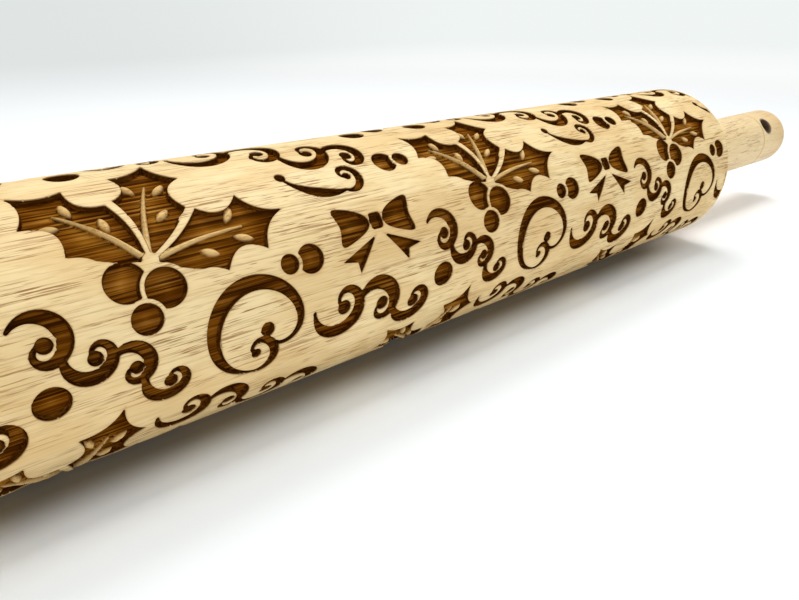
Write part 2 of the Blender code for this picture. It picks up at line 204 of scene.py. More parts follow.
def bearing(name, description, degrees):
    return FloatProperty(name=name, description=description, default=math.radians(degrees), subtype="ANGLE")


def tint(name, description, default):
    return FloatVectorProperty(
        name=name, description=description, subtype="COLOR", size=3, min=0, max=1, default=default
    )


class BarrelSizes(bpy.types.PropertyGroup):
    """Sizes of the barrel's body."""

    shoulder: metres("Shoulder", "Radius of the rounded rim at each end", 0.0015)
    core: metres("Core", "Radius of the bore through the barrel", 0.0055)
    seat_gap: metres("Seat gap", "Gap between the barrel and its bushings", 0.0003)
    flange: metres("Flange recess", "Thickness of the bushing's flange", 0.0014)
    sleeve: metres("Sleeve", "Outer radius of the bushing's sleeve", 0.0077)


class EngravingSizes(bpy.types.PropertyGroup):
    """Sizes of the carved pattern."""

    depth: metres("Depth", "Depth of the pockets", 0.0012)
    wall: metres("Wall", "Width over which a wall falls", 0.0003)
    end_land: metres("End land", "Plain band beside each shoulder", 0.0005)
    cells: IntProperty(name="Cells", description="Grid cells along one tile", default=280)
    rings: IntProperty(name="Rings", description="Pieces that the barrel's skin is made in", default=6)
    sprig_offset: metres("Sprig offset", "Place of a hub along the axis", 0.0142)
    sprig_elevation: bearing("Sprig elevation", "Angle of a hub above the side that faces the camera", 36)
    leaf_length: metres("Leaf length", "Longest leaf", 0.0262)
    leaf_width: metres("Leaf width", "Across the spines", 0.0130)
    berry_gap: metres("Berry gap", "Raised ring round a berry", 0.0006)
    bow_width: metres("Bow width", "Across both loops", 0.0188)


class HandleSizes(bpy.types.PropertyGroup):
    """Sizes of the turned handles."""

    neck: metres("Neck", "Radius beside the barrel", 0.0101)
    neck_round: metres("Neck edge", "Rounding of the neck's rim", 0.001)
    end_round: metres("End edge", "Rounding of the end", 0.005)
    crown: metres("Crown", "Rise of the end's face", 0.0006)
    groove_from_end: metres("Groove place", "Groove to the handle's end", 0.0235)
    groove_width: metres("Groove width", "Across the groove", 0.0012)
    groove_depth: metres("Groove depth", "Depth of the groove", 0.0006)
    bore: metres("Bore", "Radius of the blind bore", 0.0043)
    bore_spare: metres("Bore spare", "Bore past the axle", 0.001)
    hole: metres("Hole", "Radius of the hanging hole", 0.003)
    hole_from_groove: metres("Hole place", "Groove to the hanging hole", 0.0047)
    hole_elevation: bearing("Hole elevation", "Angle of the hole above level, on the camera's side", 40)


class FinishColours(bpy.types.PropertyGroup):
    """Colours of the wood, the burnt engraving and the fittings."""

    pale: tint("Pale wood", "Sanded beech", (0.738, 0.594, 0.334))
    golden: tint("Late wood", "Darker bands", (0.545, 0.350, 0.136))
    fleck: tint("Flecks", "Short dark streaks", (0.250, 0.118, 0.034))
    floor: tint("Pocket floor", "Toasted floor", (0.290, 0.120, 0.012))
    floor_dark: tint("Floor stripes", "Dark stripes", (0.120, 0.040, 0.003))
    floor_light: tint("Floor streaks", "Pale streaks", (0.450, 0.238, 0.062))
    floor_line: tint("Floor lines", "Burnt lines along the grain", (0.030, 0.0065, 0.0006))
    # Painted shade: the pockets' floors are multiplied by this towards their walls
    painted_wall_shade: tint("Near walls", "What the floor is multiplied by near its walls", (0.57, 0.46, 0.33))
    ridge: tint("Ridges", "Scorch on the ribs and almonds", (0.600, 0.350, 0.095))
    # Charred walls, darkened further as painted shade; the handles' hanging holes take this colour as painted
    # shade
    wall: tint("Burnt wall", "Charred walls", (0.036, 0.0095, 0.0008))
    steel: tint("Steel", "Drawn steel", (0.56, 0.56, 0.57))
    steel_dull: tint("Dull steel", "Handled patches", (0.40, 0.40, 0.42))
    nylon: tint("Nylon", "Natural nylon", (0.79, 0.77, 0.71))
    nylon_dark: tint("Nylon clouds", "Yellower clouds", (0.66, 0.62, 0.52))


class StageSettings(bpy.types.PropertyGroup):
    """The studio round the pin."""

    lens: FloatProperty(name="Lens", description="Focal length in mm", default=30.0)
    eye: FloatVectorProperty(
        name="Eye", description="Camera place", subtype="XYZ", unit="LENGTH", default=CAMERA_PLACE
    )
    aim: FloatVectorProperty(name="Aim", description="Camera rotation", subtype="EULER", default=CAMERA_TURN)
    key: FloatProperty(name="Key light", description="Power of the overhead lamp in watts", default=9.8)
    fill: FloatProperty(name="Fill light", description="Power of the low lamp in watts", default=3.9)
    sky: FloatProperty(name="Sky", description="Strength of the room's light", default=0.55)


def sum_node(operation, swapped=False):
    """An operator of Value, which adds one Math node. A swapped one has the Value on its right."""

    def work_out(self, *others):
        values = (*others, self) if swapped else (self, *others)
        return self.finish.node("Math", {"operation": operation}, dict(enumerate(values)))

    return work_out


class Value:
    """A number or colour that varies over a surface. Arithmetic on it adds Math nodes."""

    def __init__(self, finish, socket):
        self.finish = finish
        self.socket = socket

    __add__, __radd__ = sum_node("ADD"), sum_node("ADD", True)
    __sub__, __rsub__ = sum_node("SUBTRACT"), sum_node("SUBTRACT", True)
    __mul__, __rmul__ = sum_node("MULTIPLY"), sum_node("MULTIPLY", True)
    __truediv__, __rtruediv__ = sum_node("DIVIDE"), sum_node("DIVIDE", True)
    __pow__, __rpow__ = sum_node("POWER"), sum_node("POWER", True)
    __abs__, sine = sum_node("ABSOLUTE"), sum_node("SINE")
    least, most = sum_node("MINIMUM"), sum_node("MAXIMUM")

    def ease(self, low, high):
        """0 below low, 1 above high and a smooth step between."""
        settings = {"interpolation_type": "SMOOTHSTEP"}
        return self.finish.node("MapRange", settings, {0: self, 1: low, 2: high})


class Finish:
    """One procedural material or world: its nodes come from node(), and its sums from Value."""

    def __init__(self, name, colours=None, world=None):
        self.colours = colours
        self.owner = world or bpy.data.materials.new(name)
        self.owner.use_nodes = True
        self.tree = self.owner.node_tree
        self.tree.nodes.clear()

    def node(self, kind, settings=None, sockets=None, output=0):
        """Adds a ShaderNode of a kind with its settings, then the values or links of its sockets."""
        made = self.tree.nodes.new("ShaderNode" + kind)
        for name, value in (settings or {}).items():
            setattr(made, name, value)
        for key, value in (sockets or {}).items():
            if isinstance(value, Value):
                self.tree.links.new(value.socket, made.inputs[key])
            else:
                made.inputs[key].default_value = value
        return Value(self, made.outputs[output]) if made.outputs else None

    def place(self, scale=(1, 1, 1), turn=(0, 0, 0), shift=(0, 0, 0)):
        """Object coordinates, turned, stretched and shifted."""
        here = self.node("TexCoord", output="Object")
        sockets = {"Vector": here, "Location": shift, "Rotation": turn, "Scale": scale}
        return self.node("Mapping", None, sockets)

    def axes(self, turn=(0, 0, 0)):
        """Object coordinates as three numbers."""
        split = self.node("SeparateXYZ", None, {0: self.place(turn=turn)}).socket.node
        return [Value(self, socket) for socket in split.outputs]

    def attribute(self, name):
        """A number that each point of the mesh carries."""
        return self.node("Attribute", {"attribute_name": name}, output="Fac")

    def noise(self, scale, detail=2.0, roughness=0.5, turn=(0, 0, 0), shift=(0, 0, 0)):
        """Noise of about scale lumps per metre each way."""
        where = self.place(scale, turn, shift)
        sockets = {"Vector": where, "Scale": 1.0, "Detail": detail, "Roughness": roughness}
        return self.node("TexNoise", None, sockets)

    def streaks(self, along, across, detail=2.0, roughness=0.5, shift=(0, 0, 0)):
        """Noise drawn out along the grain: lumps per metre along it and across it."""
        return self.noise((along, across, across), detail, roughness, GRAIN_TURN, shift)

    def colour(self, value):
        """A colour for a socket, from a property's name, a tuple or a Value."""
        if isinstance(value, str):
            value = tuple(getattr(self.colours, value))
        return (*value, 1.0) if isinstance(value, tuple) else value

    def mix(self, share, first, second, blend="MIX"):
        """The first colour where share is 0, the second where it is 1."""
        settings = {"data_type": "RGBA", "blend_type": blend}
        sockets = {0: share, 6: self.colour(first), 7: self.colour(second)}
        return self.node("Mix", settings, sockets, output=2)

    def mix_shaders(self, share, first, second):
        """The first shader where share is 0, the second where it is 1."""
        return self.node("MixShader", None, {0: share, 1: first, 2: second})

    def seen_directly(self):
        """1 for a ray from the camera, straight or by way of metal or glass, and 0 for the light's own."""
        rays = ("Is Camera Ray", "Is Glossy Ray", "Is Transmission Ray")
        camera, glossy, through = (self.node("LightPath", output=ray) for ray in rays)
        return (camera + glossy + through).least(1.0)

    def matt(self, sockets):
        """A shader with no shine."""
        sockets = {**sockets, "Roughness": 1.0, "Specular IOR Level": 0.0}
        return self.node("BsdfPrincipled", None, sockets)

    def surface(self, sockets, height, distance):
        """The shader and its output. height runs from 0 to 1 and spans a distance in metres."""
        bump = self.node("Bump", None, {"Distance": distance, "Height": height})
        shader = self.node("BsdfPrincipled", None, {**sockets, "Normal": bump})
        self.node("OutputMaterial", None, {"Surface": shader})
        return self.owner


def beech(finish, pith, shift):
    """Sanded beech along X: its colour, that of its sawn ends and a height for its pores.

    Growth bands are a sine of the distance from a pith line beside the piece. Flecks and pores are
    noise stretched along the grain and cut at a level, thicker in some patches than in others."""
    across, up = finish.axes(GRAIN_TURN)[1:]
    far = ((across - pith[0]) ** 2.0 + (up - pith[1]) ** 2.0) ** 0.5
    wander = (finish.streaks(9, 70, shift=shift) - 0.5) * BAND_WANDER
    periods = (BAND_PERIOD, RING_PERIOD)
    bands, rings = ((far * (math.tau / period) + wander).sine() * 0.5 + 0.5 for period in periods)
    whole, mask = {}, {}
    for name, (long, wide, detail, roughness, low, high) in STREAKS.items():
        whole[name] = finish.streaks(long, wide, detail, roughness, shift)
        mask[name] = whole[name].ease(low, high)
    wood = finish.mix(bands * 0.16 + mask["cloud"] * 0.30, "pale", "golden")
    wood = finish.mix(mask["silk"] * 0.42, wood, "golden")
    wood = finish.mix(mask["fibre"] * 0.22, wood, "golden")
    dashes = mask["dash"] * (mask["patch"] * 0.70 + 0.22)
    threads = mask["thread"] * (mask["patch"] * 0.60 + 0.17)
    marks = (dashes + threads + mask["hair"] * 0.22).least(0.90)
    wood = finish.mix(marks, wood, "fleck")
    sawn = finish.mix(rings**2.0 * 0.55 + 0.30, wood, "golden")
    sawn = finish.mix(mask["dots"] * 0.45 + mask["cloud"] * 0.12, sawn, "fleck")
    return wood, sawn, whole["fibre"] * 0.5 + whole["silk"] * 0.3 - marks * 0.8 + 0.5


def burnt_floor(finish, inside, stripes, mottle):
    """The pockets' colour: toasted in stripes along the grain, darkened towards the walls as painted shade,
    and charred on the walls, where painted shade darkens the char further. inside is the distance in mm from
    the outline."""
    scorch = stripes * 0.62 + finish.streaks(30, 620) * 0.38
    lines = finish.streaks(24, 1500, 2.0, 0.6, shift=(4.0, 1.0, 2.0))
    floor = finish.mix(scorch.ease(0.40, 0.56), "floor_dark", "floor")
    floor = finish.mix(scorch.ease(0.53, 0.65) * 0.62, floor, "floor_light")
    floor = finish.mix(lines.ease(0.50, 0.58) * 0.80, floor, "floor_line")
    # Painted shade: the floor darkens towards its walls
    floor = finish.mix(1.0 - inside.ease(0.9, 4.4), floor, "painted_wall_shade", "MULTIPLY")
    ragged = inside + (mottle - 0.5) * 0.4
    # The walls and the floor's edge: their char, darkened further as painted shade
    return finish.mix((1.0 - ragged.ease(0.10, 0.50)) * 0.72, floor, "wall")


def smoked_land(finish, edge, wood, sawn):
    """The wood between the pockets: smoked in clouds, browned beside an edge, sawn at the ends."""
    smoke = finish.noise((70, 110, 110), 3.0).ease(0.40, 0.62) * 0.38
    land = finish.mix(smoke + (1.0 - edge.ease(0.0, 1.2)) * 0.06, wood, "golden")
    browned = (1.0 - edge.ease(-0.02, 0.22)) * 0.26 + (1.0 - edge.ease(0.0, 0.9)) * 0.05
    land = finish.mix(browned, land, "floor")
    along = abs(finish.axes()[0])
    return finish.mix(along.ease(BARREL_END - 0.0006, BARREL_END - 0.0001), land, sawn)


def engraved_beech(colours):
    """Beech whose pockets are burnt: the edge attribute is the distance in mm outside an outline, and
    crest the rise of a soft ridge."""
    finish = Finish("engraved_beech", colours)
    wood, sawn, pores = beech(finish, (0.055, -0.030), (0.0, 0.0, 0.0))
    edge, rise = finish.attribute("edge"), finish.attribute("crest")
    inside = -1.0 * edge
    stripes = finish.streaks(46, 2700, 2.0, 0.6)
    mottle = finish.noise((90, 260, 260), 3.0, 0.6)
    pocket = burnt_floor(finish, inside, stripes, mottle)
    pocket = finish.mix(rise.ease(0.10, 0.64) * 0.94, pocket, finish.mix(0.45, "ridge", wood))
    cut = inside.ease(-0.01, 0.07)
    sockets = {
        "Base Color": finish.mix(cut, smoked_land(finish, edge, wood, sawn), pocket),
        "Roughness": cut * 0.30 + 0.48 + pores * 0.06,
        "Specular IOR Level": 0.0,
        "Coat Weight": (1.0 - cut) * 0.18,
        "Coat Roughness": 0.42,
    }
    return finish.surface(sockets, pores * (1.0 - cut) + (stripes * 2.6 + mottle * 0.8) * cut, 0.00007)


def handle_beech(colours, handle):
    """The handles' beech: the same sanded wood, warmer past the groove, browned in the groove, and darkened
    in and round the hanging hole as painted shade."""
    finish = Finish("handle_beech", colours)
    wood, sawn, pores = beech(finish, (-0.020, -0.035), (3.1, 5.7, 1.9))
    x, y, z = finish.axes()
    along = abs(x)
    groove = HANDLE_END - handle.groove_from_end
    colour = finish.mix(along.ease(groove, HANDLE_END) * 0.50 + 0.24, wood, "golden")
    colour = finish.mix(along.ease(HANDLE_END - 0.0022, HANDLE_END - 0.0006), colour, sawn)
    browned = 1.0 - abs(along - groove).ease(0.0, handle.groove_width * 0.6)
    colour = finish.mix(browned * 0.45, colour, "fleck")
    up, out = math.sin(handle.hole_elevation), math.cos(handle.hole_elevation)
    beside = y * up + (z - AXIS_HEIGHT) * out
    away = ((along - (groove + handle.hole_from_groove)) ** 2.0 + beside**2.0) ** 0.5
    # Painted shade: the hanging hole and the rim round its mouth darken towards the wall colour
    painted_hole_shade = 1.0 - away.ease(handle.hole + 0.0001, handle.hole + 0.0010)
    colour = finish.mix(painted_hole_shade * 0.93, colour, "wall")
    return finish.surface({"Base Color": colour, "Roughness": pores * 0.10 + 0.38}, pores, 0.00005)


def drawn_steel(colours, name, roughness):
    """Steel with fine lines round it."""
    finish = Finish(name, colours)
    lines = finish.noise((9000, 220, 220), 2.0)
    smear = finish.noise((300, 300, 300), 3.0)
    sockets = {
        "Base Color": finish.mix(smear.ease(0.3, 0.8) * 0.3, "steel", "steel_dull"),
        "Metallic": 1.0,
        "Roughness": lines * 0.16 + roughness,
    }
    return finish.surface(sockets, lines, 0.00001)


def white_nylon(colours):
    """Natural nylon with a faint moulded grain."""
    finish = Finish("natural_nylon", colours)
    grain = finish.noise((2600, 2600, 2600), 3.0)
    tone = finish.noise((120, 120, 120), 2.0)
    sockets = {
        "Base Color": finish.mix(tone * 0.35, "nylon", "nylon_dark"),
        "Roughness": grain * 0.12 + 0.36,
    }
    return finish.surface(sockets, grain, 0.00002)


def floor_paper():
    """The floor's paper. The light's rays meet its own colour, darkened under the barrel as painted shade,
    and the camera's rays a painted shadow that clears with the distance from the barrel. Further out it glows
    with its own white, and greys with painted shade, most to the left. The walls let the light's rays
    through."""
    finish = Finish("floor_white")
    x, y, z = finish.axes()
    run, beside = abs(x), abs(y)
    away = (x**2.0 + y**2.0) ** 0.5
    # 1 towards the left of the picture and 0 towards its right
    left = ((y * 0.654 - x * 0.757) / away).ease(-0.15, 0.52)
    # Painted shade: the glowing paper greys with distance, most to the left
    painted_falloff = finish.mix(left, FALLOFF_SHADE_RIGHT, FALLOFF_SHADE_LEFT)
    tone = finish.mix((away * (left * 0.7 + 1.0)).ease(0.30, 1.80), WHITE, painted_falloff)
    past = run.ease(BARREL_END - 0.029, BARREL_END + 0.009)
    beyond = run.ease(HANDLE_END, HANDLE_END + 0.030)
    # Painted shadow: the camera sees the paper darkened under the barrel, clearing with the distance from the
    # axle's line
    shade = PAINTED_CONTACT_SHADOW
    for low, high, colour in PAINTED_FLOOR_SHADOWS:
        shade = finish.mix(beside.ease(low, high), shade, colour)
    # The painted shadow lightens beside the handles and past them
    by_handle = finish.mix(beside.ease(0.012, 0.032).most(beyond), WHITE, PAINTED_FLOOR_SHADOWS[-1][2])
    shade = finish.mix(past, shade, by_handle)
    # The light's rays meet the paper darkened under the barrel as painted shade
    plain = finish.mix(beside.ease(0.008, 0.034).most(past), PAPER_PAINTED_SHADE_UNDER, PAPER_OPEN)
    seen = finish.seen_directly()
    paper = finish.matt({"Base Color": finish.mix(seen, plain, shade)})
    glow = {"Base Color": finish.colour(BLACK), "Emission Color": tone, "Emission Strength": 1.0}
    white = finish.matt(glow)
    ground = finish.mix_shaders(seen * (away.ease(0.28, 0.90) * 0.97 + 0.03), paper, white)
    wall = finish.mix_shaders(seen, finish.node("BsdfTransparent"), white)
    mixed = finish.mix_shaders(z.ease(0.001, 0.002), ground, wall)
    finish.node("OutputMaterial", None, {"Surface": mixed})
    return finish.owner


def turned(points, degrees):
    """Points on the flat sheet turned about its origin."""
    angle = math.radians(degrees)
    turn = np.array([[math.cos(angle), math.sin(angle)], [-math.sin(angle), math.cos(angle)]])
    return np.asarray(points, float) @ turn


def disc(x, y, centre, radius):
    """Distance outside a circle: the distance from its centre less the radius."""
    return np.hypot(x - centre[0], y - centre[1]) - radius


def to_segments(x, y, starts, ends):
    """Each point's distance from each segment, and how far along it the nearest point is."""
    run = ends - starts
    wx = x[:, None] - starts[:, 0]
    wy = y[:, None] - starts[:, 1]
    size = np.maximum((run**2).sum(1), 1e-12)
    along = np.clip((wx * run[:, 0] + wy * run[:, 1]) / size, 0, 1)
    return np.hypot(wx - run[:, 0] * along, wy - run[:, 1] * along), along


def inside_outline(x, y, corners):
    """Distance outside a closed outline, negative inside: the nearest side, with the sign of how many
    sides a line to the right crosses."""
    starts = np.asarray(corners, float)
    ends = np.roll(starts, -1, axis=0)
    away = to_segments(x, y, starts, ends)[0]
    rise = ends[:, 1] - starts[:, 1]
    reach = (ends[:, 0] - starts[:, 0]) * (y[:, None] - starts[:, 1]) / np.where(rise == 0, 1, rise)
    crossed = ((starts[:, 1] > y[:, None]) != (ends[:, 1] > y[:, None])) & (x[:, None] - starts[:, 0] < reach)
    return np.where(crossed.sum(1) % 2 == 1, -1, 1) * away.min(1)


def inside_stroke(x, y, path, widths):
    """Distance outside a pen stroke: from the path's nearest point, less half the width there."""
    away, along = to_segments(x, y, path[:-1], path[1:])
    half = widths / 2
    return (away - half[:-1] - (half[1:] - half[:-1]) * along).min(1)


def inside_almond(x, y, centre, degrees, half_length, half_width):
    """Distance outside the overlap of two equal circles, turned by degrees."""
    angle = math.radians(degrees)
    u = (x - centre[0]) * math.cos(angle) + (y - centre[1]) * math.sin(angle)
    v = (y - centre[1]) * math.cos(angle) - (x - centre[0]) * math.sin(angle)
    bulge = (half_length**2 + half_width**2) / (2 * half_width)
    return np.hypot(u, np.abs(v) + bulge - half_width) - bulge


def bent(start, through, end, steps):
    """Points on the parabola from start to end whose middle is through."""
    start, through, end = (np.asarray(point, float) for point in (start, through, end))
    t = np.linspace(0, 1, steps, endpoint=False)[:, None]
    return (1 - t) ** 2 * start + 2 * t * (1 - t) * (2 * through - (start + end) / 2) + t**2 * end


def closed_curve(points, steps):
    """A smooth closed curve through points: on each stretch a cubic whose slopes come from the
    neighbours."""
    here = np.asarray(points, float)
    before, after, later = np.roll(here, 1, 0), np.roll(here, -1, 0), np.roll(here, -2, 0)
    t = np.linspace(0, 1, steps, endpoint=False)[:, None, None]
    square = (2 * before - 5 * here + 4 * after - later) * t**2
    cube = (3 * here - before - 3 * after + later) * t**3
    curve = 0.5 * (2 * here + (after - before) * t + square + cube)
    return curve.transpose(1, 0, 2).reshape(-1, 2)


def swirl(start, heading, bends):
    """A path whose bend in degrees per mm changes evenly along each stretch. Its direction is the sum
    of the bends, and its places are the running sum of short steps in that direction."""
    turn, here = math.radians(heading), np.array(start, float)
    path = [here[None]]
    for length, first, last in bends:
        count = max(4, int(length * POINTS_PER_MM))
        s = (np.arange(count) + 0.5) * length / count
        angle = turn + np.radians(first * s + (last - first) * s**2 / (2 * length))
        path.append(here + np.cumsum(np.stack([np.cos(angle), np.sin(angle)], 1), 0) * length / count)
        here = path[-1][-1]
        turn += math.radians((first + last) / 2 * length)
    return np.concatenate(path)


def pen(path, thick):
    """Widths along a stroke: fine at both ends, thick at its peak, by a power of a sine."""
    run = np.concatenate([[0], np.cumsum(np.hypot(*np.diff(path, axis=0).T))])
    share = (run / run[-1]) ** (math.log(0.5) / math.log(PEN_PEAK))
    return THIN_PEN + (thick - THIN_PEN) * np.sin(math.pi * share) ** PEN_FALL


def scroll_strokes(start, heading, thick, hand, *curls):
    """A running scroll's pen strokes and end balls. Each curl is an arc that winds on into a spiral,
    and the next curl leaves the arc's end with the other hand."""
    strokes, balls = [], []
    here, angle = np.array(start, float), heading
    for radius, sweep, *wind in curls:
        bend = hand * math.degrees(1 / radius)
        stem = (math.radians(sweep) * radius, bend, bend)
        spiral = ((wind or [FULL_WIND])[0] * radius, bend, bend * SPIRAL_TIGHTENS)
        path = swirl(here, angle, (stem, spiral))
        widest = thick * min(1, radius / FULL_CURL) ** 0.5
        strokes.append((path, pen(path, widest)))
        balls.append((*path[-1], BALL_SHARE * widest + BALL_SPARE))
        here, angle, hand = swirl(here, angle, (stem,))[-1], angle + hand * sweep, -hand
    return strokes, balls


def lower(field, x, y, points, margin, shape, *values):
    """Lowers a field to a shape's distance, within a margin of the box round some points."""
    low, high = np.min(points, 0) - margin, np.max(points, 0) + margin
    near = (x > low[0]) & (x < high[0]) & (y > low[1]) & (y < high[1])
    if near.any():
        field[near] = np.minimum(field[near], shape(x[near], y[near], *values))


def berries(x, y, field, places, gap):
    """Berries over a field: each later one cuts a raised ring into what lies under it."""
    for number, (u, v, radius) in enumerate(places):
        berry = disc(x, y, (u, v), radius)
        if number:
            field = np.maximum(field, gap - berry)
        field = np.minimum(field, berry)
    return field


def leaf_outline(length, width):
    """A holly leaf along +u: parabolas between its spines, out along one edge and back along the other."""
    marks = [(0.0, 0.0), *LEAF_EDGE, (1.0, 0.0)]
    rise = ((marks[2][0] + marks[3][0]) / 2, (marks[2][1] + marks[3][1]) / 2 - 0.07)
    side = np.concatenate(
        [
            bent(marks[0], marks[1], marks[2], 5),
            bent(marks[2], rise, marks[3], 6),
            bent(marks[3], marks[4], marks[5], 10),
            bent(marks[5], marks[6], marks[7], 10),
        ]
    )
    side = side * (length, width / 2)
    return np.concatenate([side, [(length, 0.0)], side[1:][::-1] * (1, -1)])


def crest(inside, half_width):
    """A rounded ridge's rise, 1 on its middle line: a quarter sine over its half width."""
    return np.sin(math.pi / 2 * np.clip(inside / half_width, 0, 1))


def arch(length, rise, degrees):
    """A line of a given length from the hub, which bows sideways by half a sine, turned by degrees,
    and the shares of its points."""
    t = np.linspace(0, 1, 12)
    return turned(np.stack([t * length, rise * np.sin(math.pi * t)], 1), degrees), t


def sprig_ridges(x, y, sizes):
    """The soft ridges on the leaves of a sprig: each leaf's rib and its almonds, 0 on the floor and 1
    at the full height. A rib falls evenly with the distance from the hub."""
    rise = np.zeros(x.shape)
    for degrees, share, sway in LEAVES:
        size = sizes.leaf_length / MM * share
        rib, t = arch(size * RIB_REACH, RIB_BOW * sway, degrees)
        inside = -inside_stroke(x, y, rib, RIB_WIDTHS[0] + (RIB_WIDTHS[1] - RIB_WIDTHS[0]) * t)
        fall = np.clip(RIB_FALL - np.hypot(x, y) / size, RIB_LOWEST, 1)
        rise = np.maximum(rise, RIB_HEIGHT * crest(inside, RIB_ROUNDING) * fall)
        for along, across, tilt, half in LEAF_ACCENTS:
            centre = turned([(along * size, across * sizes.leaf_width / MM / 2)], degrees)[0]
            length = half * share + ALMOND_SPARE
            inside = -inside_almond(x, y, centre, degrees + tilt, length, ALMOND_WIDTH)
            rise = np.maximum(rise, ALMOND_HEIGHT * crest(inside, ALMOND_WIDTH))
    return rise


def sprig(x, y, sizes):
    """Three holly leaves round a raised hub, parted by raised land, over three berries."""
    length, width, gap = (size / MM for size in (sizes.leaf_length, sizes.leaf_width, sizes.berry_gap))
    field = np.full(x.shape, FAR)
    raised = disc(x, y, (0, 0), HUB_RADIUS)
    for leaf in LEAVES:
        outline = turned(leaf_outline(length * leaf[1], width), leaf[0])
        field = np.minimum(field, inside_outline(x, y, outline))
    for leaf, following in zip(LEAVES, LEAVES[1:]):
        parting, t = arch(PARTING_LENGTH, PARTING_BOW, (leaf[0] + following[0]) / 2)
        widths = PARTING_WIDTHS[0] + (PARTING_WIDTHS[1] - PARTING_WIDTHS[0]) * t
        raised = np.minimum(raised, inside_stroke(x, y, parting, widths))
    return np.maximum(berries(x, y, field, SPRIG_BERRIES, gap), -raised)


def bow(x, y, sizes):
    """A ribbon bow: a loop, a notched tail and their mirror images, round a rounded square knot."""
    half = sizes.bow_width / MM / 2
    x = np.abs(x)
    loop = inside_outline(x, y, closed_curve(BOW_LOOP, 6) * half)
    tail = inside_outline(x, y, np.array(BOW_TAIL) * half)
    past_x, past_y = x - KNOT[0], np.abs(y) - KNOT[1]
    corner = np.hypot(np.maximum(past_x, 0), np.maximum(past_y, 0))
    knot = corner + np.minimum(np.maximum(past_x, past_y), 0) - KNOT_ROUNDING
    return np.minimum(np.minimum(loop, tail), knot)


def loose(places, hand=1):
    """A motif of loose berries, turned half round where hand is -1."""

    def motif(x, y, sizes):
        return berries(hand * x, hand * y, np.full(x.shape, FAR), places, sizes.berry_gap / MM)

    return motif


def scrolls(x, y, sizes):
    """All running scrolls of a tile, whose sizes stand in SCROLLS."""
    field = np.full(x.shape, FAR)
    for scroll in SCROLLS:
        strokes, balls = scroll_strokes(*scroll)
        for path, widths in strokes:
            for first in range(0, len(path) - 1, WINDOW_SEGMENTS):
                some = slice(first, first + WINDOW_SEGMENTS + 1)
                margin = WINDOW_MARGIN + scroll[2] / 2
                lower(field, x, y, path[some], margin, inside_stroke, path[some], widths[some])
        for *centre, radius in balls:
            lower(field, x, y, [centre], WINDOW_MARGIN + radius, disc, centre, radius)
    return field


# Each motif's shape and how far it reaches from its place, in mm
MOTIFS = {
    "sprig": (sprig, 30),
    "bow": (bow, 13),
    "pair": (loose(PAIR_BERRIES), 10),
    "pair_turned": (loose(PAIR_BERRIES, -1), 10),
    "single": (loose(SINGLE_BERRY), 6),
    "scrolls": (scrolls, 120),
}


def tile_fields(u, v, tile, sizes):
    """Over one tile along and once round: distance in mm outside the nearest cut, and the rise of
    soft ridges."""
    field, rise = np.full(u.shape, FAR), np.zeros(u.shape)
    spots = [(name, *place) for name, places in LAYOUT.items() for place in places]
    for (name, share_u, share_v), along, turn in itertools.product(spots, (-1, 0, 1), (-1, 0, 1)):
        shape, reach = MOTIFS[name]
        x = u - (share_u + along) * tile
        y = v - (share_v + turn * TILES_ROUND) * tile
        near = (np.abs(x) < reach) & (np.abs(y) < reach)
        if near.any():
            field[near] = np.minimum(field[near], shape(x[near], y[near], sizes))
            if name == "sprig":
                rise[near] = np.maximum(rise[near], sprig_ridges(x[near], y[near], sizes))
    return field, rise


def relief(barrel, sizes):
    """The barrel's carved sheet as arrays of places along, angles round, heights, edge distances and
    the rise of soft ridges.

    The grid follows the tile. A vertex near an outline, or near the foot of its wall, is moved on to
    it along the field's slope, so that both run clean. The height falls evenly across the wall. A
    plain row closes the sheet at each end."""
    tile = math.tau * BARREL_RADIUS / MM / TILES_ROUND
    cells = sizes.cells
    cell = tile / cells
    wall = sizes.wall / MM
    rounds = np.arange(cells * TILES_ROUND) * cell
    u, v = np.meshgrid(np.arange(cells) * cell, rounds, indexing="ij")
    fields = tile_fields(u.ravel(), v.ravel(), tile, sizes)
    tile_sheet, tile_rise = (field.reshape(u.shape) for field in fields)
    end = (BARREL_END - barrel.shoulder) / MM
    offset = sizes.sprig_offset / MM
    first = math.ceil((-end + cell / 2 - offset) / cell)
    last = math.floor((end - cell / 2 - offset) / cell)
    number = np.arange(first, last + 1)
    along = (offset + number * cell)[:, None]
    field = np.maximum(tile_sheet[number % cells], np.abs(along) - (end - sizes.end_land / MM))
    slope_u = np.gradient(field, cell, axis=0)
    slope_v = (np.roll(field, -1, 1) - np.roll(field, 1, 1)) / (2 * cell)
    steep = np.maximum(np.hypot(slope_u, slope_v), LEAST_SLOPE)
    level = field.copy()
    for target in (0.0, -wall):
        level[np.abs(field - target) < SNAP_REACH * cell] = target
    move = (level - field) / steep
    rise = tile_rise[number % cells] * (level < 0)
    height = -sizes.depth / MM * np.clip(-level / wall, 0, 1) * (1 - rise)
    blank = np.zeros((1, len(rounds)))
    sheets = (
        (blank - end, along + move * slope_u / steep, blank + end),
        (blank + rounds, rounds + move * slope_v / steep, blank + rounds),
        (blank, height, blank),
        (blank + PLAIN_EDGE, np.clip(level, -EDGE_LIMIT, EDGE_LIMIT), blank + PLAIN_EDGE),
        (blank, rise, blank),
    )
    along, around, height, edge, rise = (np.concatenate(rows) for rows in sheets)
    return along * MM, around * MM / BARREL_RADIUS + sizes.sprig_elevation, height * MM, edge, rise


def wrapped(along, angle, radius):
    """Points round the axle: x is the place along, angle 0 faces the camera and rises from there."""
    return np.stack([along, -radius * np.cos(angle), AXIS_HEIGHT + radius * np.sin(angle)], -1)


